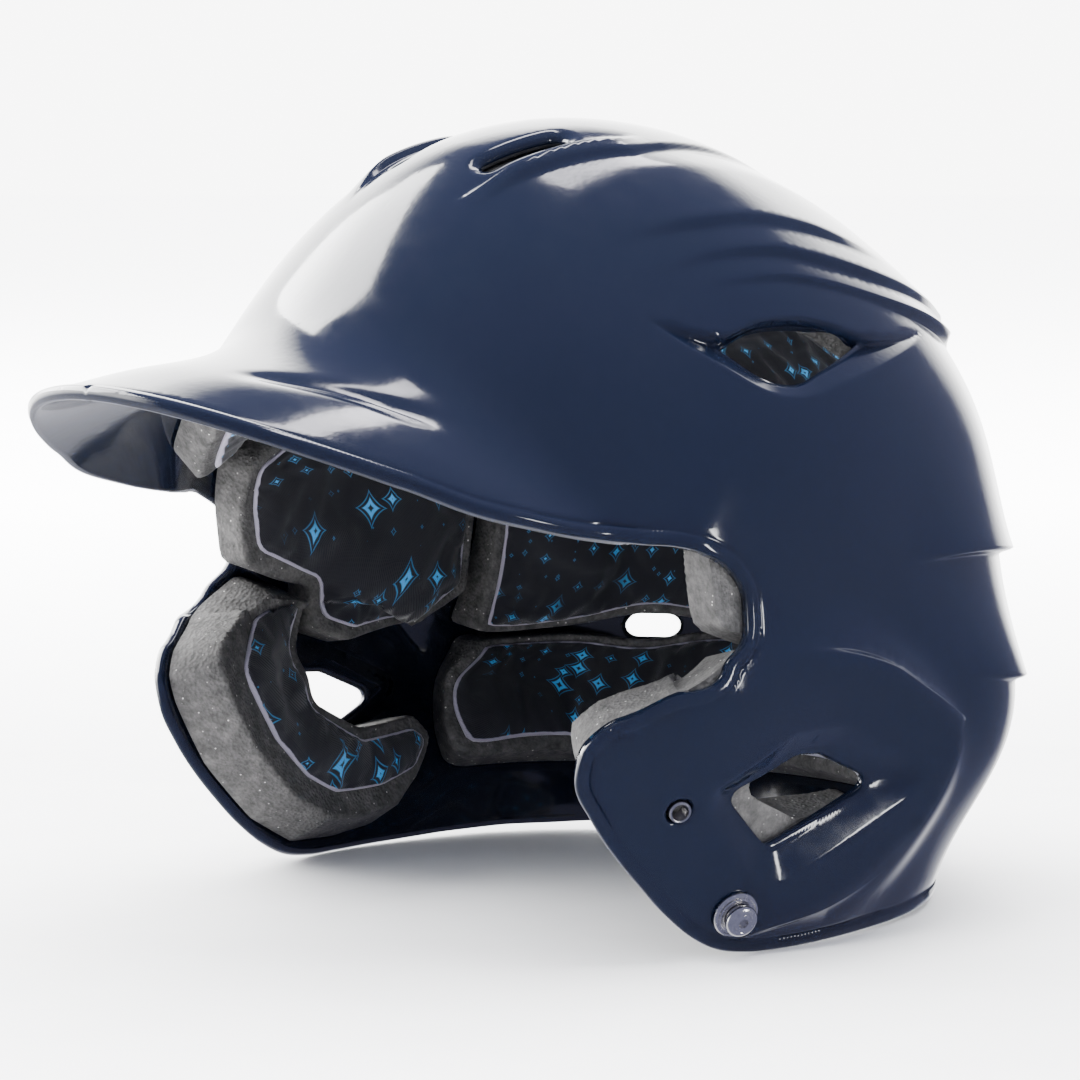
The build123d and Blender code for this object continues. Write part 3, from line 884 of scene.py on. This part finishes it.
def puff(covers):
    """Inflates the fabric faces between their stitches with a short cloth simulation."""
    scene = bpy.context.scene
    for cover in covers:
        cloth = cover.modifiers.new("puff", "CLOTH")
        settings = cloth.settings
        settings.quality = 4
        settings.mass = 0.3
        settings.tension_stiffness = 12
        settings.compression_stiffness = 12
        settings.shear_stiffness = 4
        settings.bending_stiffness = 0.1
        settings.shrink_min = -0.04
        settings.use_pressure = True
        settings.uniform_pressure_force = 4
        settings.effector_weights.gravity = 0
        settings.vertex_group_mass = "stitched"
        cloth.collision_settings.use_collision = False
        cloth.point_cache.frame_start = 1
        cloth.point_cache.frame_end = 20
    for frame_number in range(1, 21):
        scene.frame_set(frame_number)
    graph = bpy.context.evaluated_depsgraph_get()
    for cover in covers:
        moved = [v.co.copy() for v in cover.evaluated_get(graph).data.vertices]
        cover.modifiers.clear()
        for vertex, after in zip(cover.data.vertices, moved):
            shift = after - vertex.co
            if shift.length > PUFF_LIMIT:
                shift.length = PUFF_LIMIT
            vertex.co += shift
        cover.data.update()
    scene.frame_set(1)


def flipped(faces, hand):
    return faces if hand > 0 else [tuple(f[::-1]) for f in faces]


def store(obj, name, values):
    """Keeps a number per point for the material to read."""
    layer = obj.data.attributes.new(name, "FLOAT", "POINT")
    layer.data.foreach_set("value", np.asarray(values, dtype=np.float32))


# ---------------------------------------------------------------- materials
def node_material(name):
    material = bpy.data.materials.new(name)
    material.use_nodes = True
    tree = material.node_tree
    shader = tree.nodes["Principled BSDF"]
    return material, tree, shader


def add(tree, kind, **values):
    node = tree.nodes.new(kind)
    for key, value in values.items():
        if key in node.inputs:
            node.inputs[key].default_value = value
        else:
            setattr(node, key, value)
    return node


def texture(tree, kind, place, **values):
    """A texture node that reads its place from another node's output."""
    node = add(tree, "ShaderNodeTex" + kind, **values)
    tree.links.new(place, node.inputs["Vector"])
    return node.outputs


def object_place(tree):
    return add(tree, "ShaderNodeTexCoord").outputs["Object"]


def stored(tree, name):
    """A number that the mesh keeps for each point."""
    return add(tree, "ShaderNodeAttribute", attribute_name=name).outputs["Fac"]


def product(tree, first, second):
    node = add(tree, "ShaderNodeMath", operation="MULTIPLY")
    tree.links.new(first, node.inputs[0])
    tree.links.new(second, node.inputs[1])
    return node.outputs["Value"]


def mixed(tree, factor, first, colour):
    """A colour over another, by a factor."""
    node = add(tree, "ShaderNodeMix", data_type="RGBA")
    tree.links.new(factor, node.inputs["Factor"])
    tree.links.new(first, node.inputs["A"])
    node.inputs["B"].default_value = (*colour, 1)
    return node.outputs["Result"]


def ranged(tree, source, start, end, to_min=0.0, to_max=1.0):
    """Maps start to end onto to_min to to_max, and holds beyond them."""
    node = add(tree, "ShaderNodeMapRange")
    tree.links.new(source, node.inputs["Value"])
    for key, value in (("From Min", start), ("From Max", end), ("To Min", to_min), ("To Max", to_max)):
        node.inputs[key].default_value = value
    return node.outputs["Result"]


def ramp(tree, source, stops):
    node = tree.nodes.new("ShaderNodeValToRGB")
    while len(node.color_ramp.elements) < len(stops):
        node.color_ramp.elements.new(0.5)
    for element, (place, colour) in zip(node.color_ramp.elements, stops):
        element.position = place
        element.color = (*colour, 1)
    tree.links.new(source, node.inputs["Fac"])
    return node.outputs["Color"]


def grey(value):
    return (value, value, value)


def shade(tree, shader, **sources):
    """Links colours or numbers to the shader's inputs, named with _ for a space."""
    for name, source in sources.items():
        tree.links.new(source, shader.inputs[name.replace("_", " ")])


def bump(tree, shader, source, strength, distance):
    node = add(tree, "ShaderNodeBump", Strength=strength, Distance=distance)
    tree.links.new(source, node.inputs["Height"])
    tree.links.new(node.outputs["Normal"], shader.inputs["Normal"])


def shell_material():
    material, tree, shader = node_material("navy_shell")
    place = object_place(tree)
    slow = texture(tree, "Noise", place, Scale=14.0, Detail=3.0)
    tone = ramp(tree, slow["Fac"], [(0.3, (0.0030, 0.0050, 0.0125)), (0.7, (0.0036, 0.0058, 0.0142))])
    fine = texture(tree, "Noise", place, Scale=160.0, Detail=4.0)
    gloss = ramp(tree, fine["Fac"], [(0.35, grey(0.1)), (0.75, grey(0.16))])
    shade(tree, shader, Base_Color=tone, Roughness=gloss)
    peel = texture(tree, "Noise", place, Scale=420.0, Detail=1.0)
    bump(tree, shader, peel["Fac"], 0.05, 0.0004)
    shader.inputs["Coat Weight"].default_value = 0.3
    shader.inputs["Coat Roughness"].default_value = 0.05
    shader.inputs["Specular IOR Level"].default_value = 0.55
    return material


def foam_material():
    """Dark closed-cell foam with light specks."""
    material, tree, shader = node_material("speckled_foam")
    place = object_place(tree)
    cells = texture(tree, "Voronoi", place, Scale=900.0)
    fleck = texture(tree, "Voronoi", place, Scale=520.0)
    cloud = texture(tree, "Noise", place, Scale=260.0, Detail=5.0, Roughness=0.75)
    tones = [(0.3, (0.032, 0.031, 0.03)), (0.5, (0.07, 0.068, 0.066)), (0.72, (0.12, 0.117, 0.113))]
    tone = ramp(tree, cloud["Fac"], tones)
    light = ramp(tree, fleck["Distance"], [(0.05, grey(1.0)), (0.17, grey(0.0))])
    pick = ramp(tree, fleck["Color"], [(0.55, grey(0.0)), (0.75, grey(1.0))])
    speckled = mixed(tree, product(tree, light, pick), tone, (0.62, 0.61, 0.58))
    rough = ramp(tree, cloud["Fac"], [(0.3, grey(0.85)), (0.7, grey(0.98))])
    shade(tree, shader, Base_Color=speckled, Roughness=rough)
    bump(tree, shader, cells["Distance"], 0.55, 0.0006)
    return material


def fabric_material():
    """Black knit with scattered blue four-pointed marks and a pale stitched border."""
    material, tree, shader = node_material("printed_knit")
    flat = add(tree, "ShaderNodeCombineXYZ")
    tree.links.new(stored(tree, "u"), flat.inputs["X"])
    tree.links.new(stored(tree, "v"), flat.inputs["Y"])
    flat = flat.outputs["Vector"]
    marks = texture(
        tree, "Voronoi", flat, Scale=0.15, Randomness=0.6, feature="F1", distance="MINKOWSKI", Exponent=0.7
    )
    star = [(0.14, 0), (0.2, 1), (0.36, 1), (0.42, 0), (0.56, 0), (0.6, 0.6), (0.66, 0)]
    ring = ramp(tree, marks["Distance"], [(place, grey(value)) for place, value in star])
    patches = texture(tree, "Noise", flat, Scale=0.035, Detail=1.0)
    shown = ramp(tree, patches["Fac"], [(0.36, grey(0)), (0.46, grey(1))])
    knit = texture(tree, "Wave", flat, Scale=1.4, Distortion=0.6, bands_direction="DIAGONAL")
    black = ramp(tree, knit["Fac"], [(0.2, (0.004, 0.004, 0.007)), (0.8, (0.012, 0.012, 0.017))])
    printed = mixed(tree, product(tree, ring, shown), black, (0.05, 0.4, 0.85))
    border = ramp(tree, stored(tree, "trim"), [(0.0, grey(1)), (0.55, grey(1)), (0.75, grey(0))])
    edged = mixed(tree, border, printed, (0.3, 0.28, 0.36))
    rough = ramp(tree, knit["Fac"], [(0.2, grey(0.62)), (0.8, grey(0.8))])
    shade(tree, shader, Base_Color=edged, Roughness=rough)
    shader.inputs["Sheen Weight"].default_value = 0.25
    bump(tree, shader, knit["Fac"], 0.35, 0.0003)
    return material


def metal_material(name, tint, low, high):
    material, tree, shader = node_material(name)
    scratch = texture(tree, "Noise", object_place(tree), Scale=900.0, Detail=6.0, Roughness=0.7)["Fac"]
    tone = ramp(tree, scratch, [(0.3, tuple(0.8 * c for c in tint)), (0.7, tint)])
    rough = ramp(tree, scratch, [(0.3, grey(low)), (0.7, grey(high))])
    shade(tree, shader, Base_Color=tone, Roughness=rough)
    shader.inputs["Metallic"].default_value = 1.0
    bump(tree, shader, scratch, 0.12, 0.0001)
    return material


# ---------------------------------------------------------------- fixings
def lathe(name, profile, centre, axis, material, ripple=None):
    """Turned piece along an axis, from a profile of (radius, height) in millimetres.

    ripple, a function of angle and radius, changes the radius by a fraction.
    """
    turn = Vector(axis).normalized().to_track_quat("Z", "Y")
    segments = 72
    points, faces = [], []
    for radius, height in profile:
        for k in range(segments):
            t = 2 * math.pi * k / segments
            r = radius * (1 + (ripple(t, radius) if ripple else 0))
            point = Vector(centre) + turn @ Vector((r * math.cos(t), r * math.sin(t), height))
            points.append(point / 1000)
    for low in range(0, (len(profile) - 1) * segments, segments):
        high = low + segments
        for k in range(segments):
            j = (k + 1) % segments
            faces.append((low + k, low + j, high + j, high + k))
    obj = mesh_object(name, points, faces, material)
    mesh = bmesh.new()
    mesh.from_mesh(obj.data)
    bmesh.ops.remove_doubles(mesh, verts=mesh.verts, dist=1e-7)
    bmesh.ops.recalc_face_normals(mesh, faces=mesh.faces)
    mesh.to_mesh(obj.data)
    mesh.free()
    obj.data.set_sharp_from_angle(angle=math.radians(35))
    return obj


def flap_spot(place, hand):
    """Point and outward direction on the flap, as the CAD places its fixings."""
    spots = np.array([place, (place[0] + 1, place[1]), (place[0], place[1] + 1)], float)
    here, along, up = base(*from_side(spots[:, 0], spots[:, 1]))
    normal = np.cross(along - here, up - here)
    normal /= np.linalg.norm(normal) * np.sign(normal[0])
    mirror = np.array([hand, 1, 1])
    return (here + [0, ORIGIN_SHIFT, 0]) * mirror, normal * mirror


def hex_drive(t, radius):
    """Turns the rings of the cap's recess into hexagons with that inscribed radius."""
    if not 0 < radius < RECESS_RIM_RADIUS:
        return 0
    return 1 / math.cos((t + math.pi / 6) % (math.pi / 3) - math.pi / 6) - 1


# Profiles of the fixings as (radius, height) in millimetres, with the shell's surface at height 0.
RECESS_RIM_RADIUS = 1.3
INSERT_THREAD = [(1.98 if k % 2 == 0 else 2.14, 0.35 * k - 4.9) for k in range(14)]
GUARD_INSERT = [
    (2.1, 0.1), (2.2, 0.36), (2.45, 0.5), (2.66, 0.44), (2.85, 0.2), (2.85, -4.35), (5.6, -4.4), (5.98, -4.6),
    (5.98, -5.4), (5.6, -5.6), (2.4, -5.6), (2.1, -5.4), *INSERT_THREAD, (2.1, 0.1),
]
JAW_INSERT = [
    (2.02, -0.5), (2.2, -0.32), (2.7, -0.32), (2.85, -0.5), (2.85, -4.35), (4.0, -4.4), (4.18, -4.6),
    (4.18, -5.4), (4.0, -5.6), (2.2, -5.6), (2.02, -5.4), (2.02, -0.5),
]
SNAP_WASHER = [
    (3.4, 0.5), (3.4, 1.35), (3.6, 1.55), (4.5, 1.6), (4.75, 1.35), (5.05, 1.32), (5.3, 1.5), (5.75, 1.42),
    (6.1, 1.05), (6.2, 0.7), (6.1, 0.38), (5.8, 0.3), (3.6, 0.3), (3.4, 0.5),
]
SNAP_STUD = [
    (0.0, 3.75), (0.6, 3.72), (1.25, 3.74), (1.25, 4.9), (RECESS_RIM_RADIUS, 5.1), (1.55, 5.12), (2.2, 5.12),
    (2.35, 4.98), (2.55, 4.98), (2.72, 5.12), (3.3, 5.0), (3.85, 4.7), (4.2, 4.25), (4.3, 3.7), (4.2, 3.2),
    (3.9, 2.95), (3.45, 2.85), (3.2, 2.6), (3.15, 1.9), (3.2, 1.66), (2.9, 1.66), (0.0, 1.66),
]
SCREW_THREAD = [spot for k in range(14) for spot in ((1.95, 1.5 - 0.6 * k), (1.72, 1.2 - 0.6 * k))]
STUD_SCREW = [(0.0, 1.64), (1.9, 1.64), *SCREW_THREAD, (1.5, -7.0), (0.0, -7.0)]


def build_fixings(side, hand, materials):
    """The face guard insert, and the jaw strap's insert, washer, cap and screw, on one flap."""
    guard = flap_spot(GUARD_INSERT_AT, hand)
    jaw = flap_spot(JAW_STUD_AT, hand)
    steel, nickel = materials["insert"], materials["stud"]
    insert = lathe(f"guard_insert_barrel_{side}", GUARD_INSERT, *guard, steel)
    attach(insert, "helmet", f"guard_insert_{side}")
    seat = lathe(f"jaw_insert_barrel_{side}", JAW_INSERT, *jaw, steel)
    attach(seat, "helmet", f"jaw_insert_{side}")
    washer = lathe(f"snap_washer_{side}", SNAP_WASHER, *jaw, nickel)
    attach(washer, f"{side}_washer", f"jaw_washer_{side}")
    stud = lathe(f"snap_stud_{side}", SNAP_STUD, *jaw, nickel, hex_drive)
    attach(stud, f"{side}_stud", f"jaw_stud_{side}")
    screw = lathe(f"stud_screw_{side}", STUD_SCREW, *jaw, nickel)
    attach(screw, f"{side}_stud", f"jaw_screw_{side}")


# ---------------------------------------------------------------- assembly
shell_points, shell_faces = build_shell()
shell = mesh_object("moulded_shell", to_part(shell_points), shell_faces, shell_material())
weld_middle(shell)
shell.data.set_sharp_from_angle(angle=math.radians(80))
attach(shell, "helmet", "shell")

materials = {
    "foam": foam_material(),
    "fabric": fabric_material(),
    "insert": metal_material("plated_steel", (0.62, 0.61, 0.6), 0.24, 0.42),
    "stud": metal_material("bright_nickel", (0.78, 0.77, 0.75), 0.14, 0.3),
}
covers = [build_pad(name, layout, foam, seams, materials) for name, (layout, foam, seams) in PADS.items()]
puff(covers)
for side, hand in (("left", 1), ("right", -1)):
    build_fixings(side, hand, materials)


# ---------------------------------------------------------------- studio
# Camera angles are in degrees, its distance and aim in metres.
CAMERA_AZIMUTH = 48.24
CAMERA_HEIGHT = 6.07
CAMERA_DISTANCE = 1.068
CAMERA_AIM = (0, 0.006545, 0.09613)


def area(name, place, aim, size, power, colour=(1, 1, 1), glossy=True):
    light = bpy.data.lights.new(name, "AREA")
    light.shape = "RECTANGLE"
    light.size, light.size_y = size
    light.energy = power
    light.color = colour
    obj = placed(name, light)
    obj.location = place
    obj.rotation_euler = (Vector(aim) - Vector(place)).to_track_quat("-Z", "Y").to_euler()
    obj.visible_glossy = glossy
    return obj


def floor_material():
    """Near-white paper that glows far behind the part and falls to grey well in front of it."""
    material, tree, shader = node_material("studio_floor")
    place = object_place(tree)
    split = add(tree, "ShaderNodeSeparateXYZ")
    tree.links.new(place, split.inputs["Vector"])
    fade = ranged(tree, split.outputs["X"], 0.26, 0.42)
    noise = texture(tree, "Noise", place, Scale=30.0, Detail=4.0)
    paper = ramp(tree, noise["Fac"], [(0.3, grey(0.9)), (0.7, grey(0.93))])
    tone = mixed(tree, fade, paper, (0.16, 0.17, 0.19))
    shader.inputs["Roughness"].default_value = 0.75
    shader.inputs["Specular IOR Level"].default_value = 0.15
    far = ranged(tree, split.outputs["X"], -0.25, -1.1, to_max=7.0)
    shade(tree, shader, Base_Color=tone, Emission_Color=paper, Emission_Strength=far)
    return material


floor_corners = [(-9, -9, 0), (9, -9, 0), (9, 9, 0), (-9, 9, 0)]
floor = mesh_object("floor", floor_corners, [(0, 1, 2, 3)], floor_material())
floor.rotation_euler = (0, 0, math.radians(CAMERA_AZIMUTH - 90))
floor.visible_glossy = False
area("overhead_softbox", (-0.2, 0.2, 2.4), (0, 0, 0), (3.0, 3.0), 420, glossy=False)
area("forehead_softbox", (-1.9, -0.7, 1.2), (0, -0.05, 0.15), (2.3, 1.9), 240)
area("crest_strip", (-0.7, 1.0, 1.9), (0, 0, 0.15), (0.2, 1.4), 10, (0.97, 0.95, 1))
area("side_strip", (1.3, 0.35, 0.3), (0.08, -0.02, 0.04), (0.12, 0.5), 5)
area("near_fill", (1.5, -1.2, 1.4), (0, 0, 0.08), (1.4, 1.4), 40, (0.88, 0.92, 1), glossy=False)


def studio_world():
    """A bright low backdrop behind the part, a dark room above it and on the near side."""
    world = bpy.data.worlds.new("studio")
    world.use_nodes = True
    tree = world.node_tree
    place = add(tree, "ShaderNodeTexCoord").outputs["Generated"]

    def facing(direction):
        node = add(tree, "ShaderNodeVectorMath", operation="DOT_PRODUCT")
        tree.links.new(place, node.inputs[0])
        node.inputs[1].default_value = direction
        return node.outputs["Value"]

    split = add(tree, "ShaderNodeSeparateXYZ")
    tree.links.new(place, split.inputs["Vector"])
    height = split.outputs["Z"]
    shown = ranged(tree, facing((0.983, -0.187, 0)), -0.12, -0.32)
    shown = product(tree, shown, ranged(tree, height, 0.62, 0.44))
    shown = product(tree, shown, ranged(tree, height, -0.3, -0.04, to_min=0.12))
    shown = product(tree, shown, ranged(tree, facing((0.669, 0.743, 0)), 0.6, 0.34))
    tone = ramp(tree, shown, [(0.0, (0.03, 0.031, 0.048)), (1.0, (1, 1, 1))])
    tree.links.new(tone, tree.nodes["Background"].inputs["Color"])
    tree.nodes["Background"].inputs["Strength"].default_value = 8.0
    return world


bpy.context.scene.world = studio_world()

turn, lift = math.radians(CAMERA_AZIMUTH), math.radians(CAMERA_HEIGHT)
aim = Vector(CAMERA_AIM)
towards_camera = Vector((math.sin(turn) * math.cos(lift), -math.cos(turn) * math.cos(lift), math.sin(lift)))
camera_data = bpy.data.cameras.new("camera")
camera_data.lens = 134.5
camera_data.sensor_width = 36
camera = placed("camera", camera_data)
camera.location = aim + CAMERA_DISTANCE * towards_camera
camera.rotation_euler = (aim - camera.location).to_track_quat("-Z", "Y").to_euler()
bpy.context.scene.camera = camera
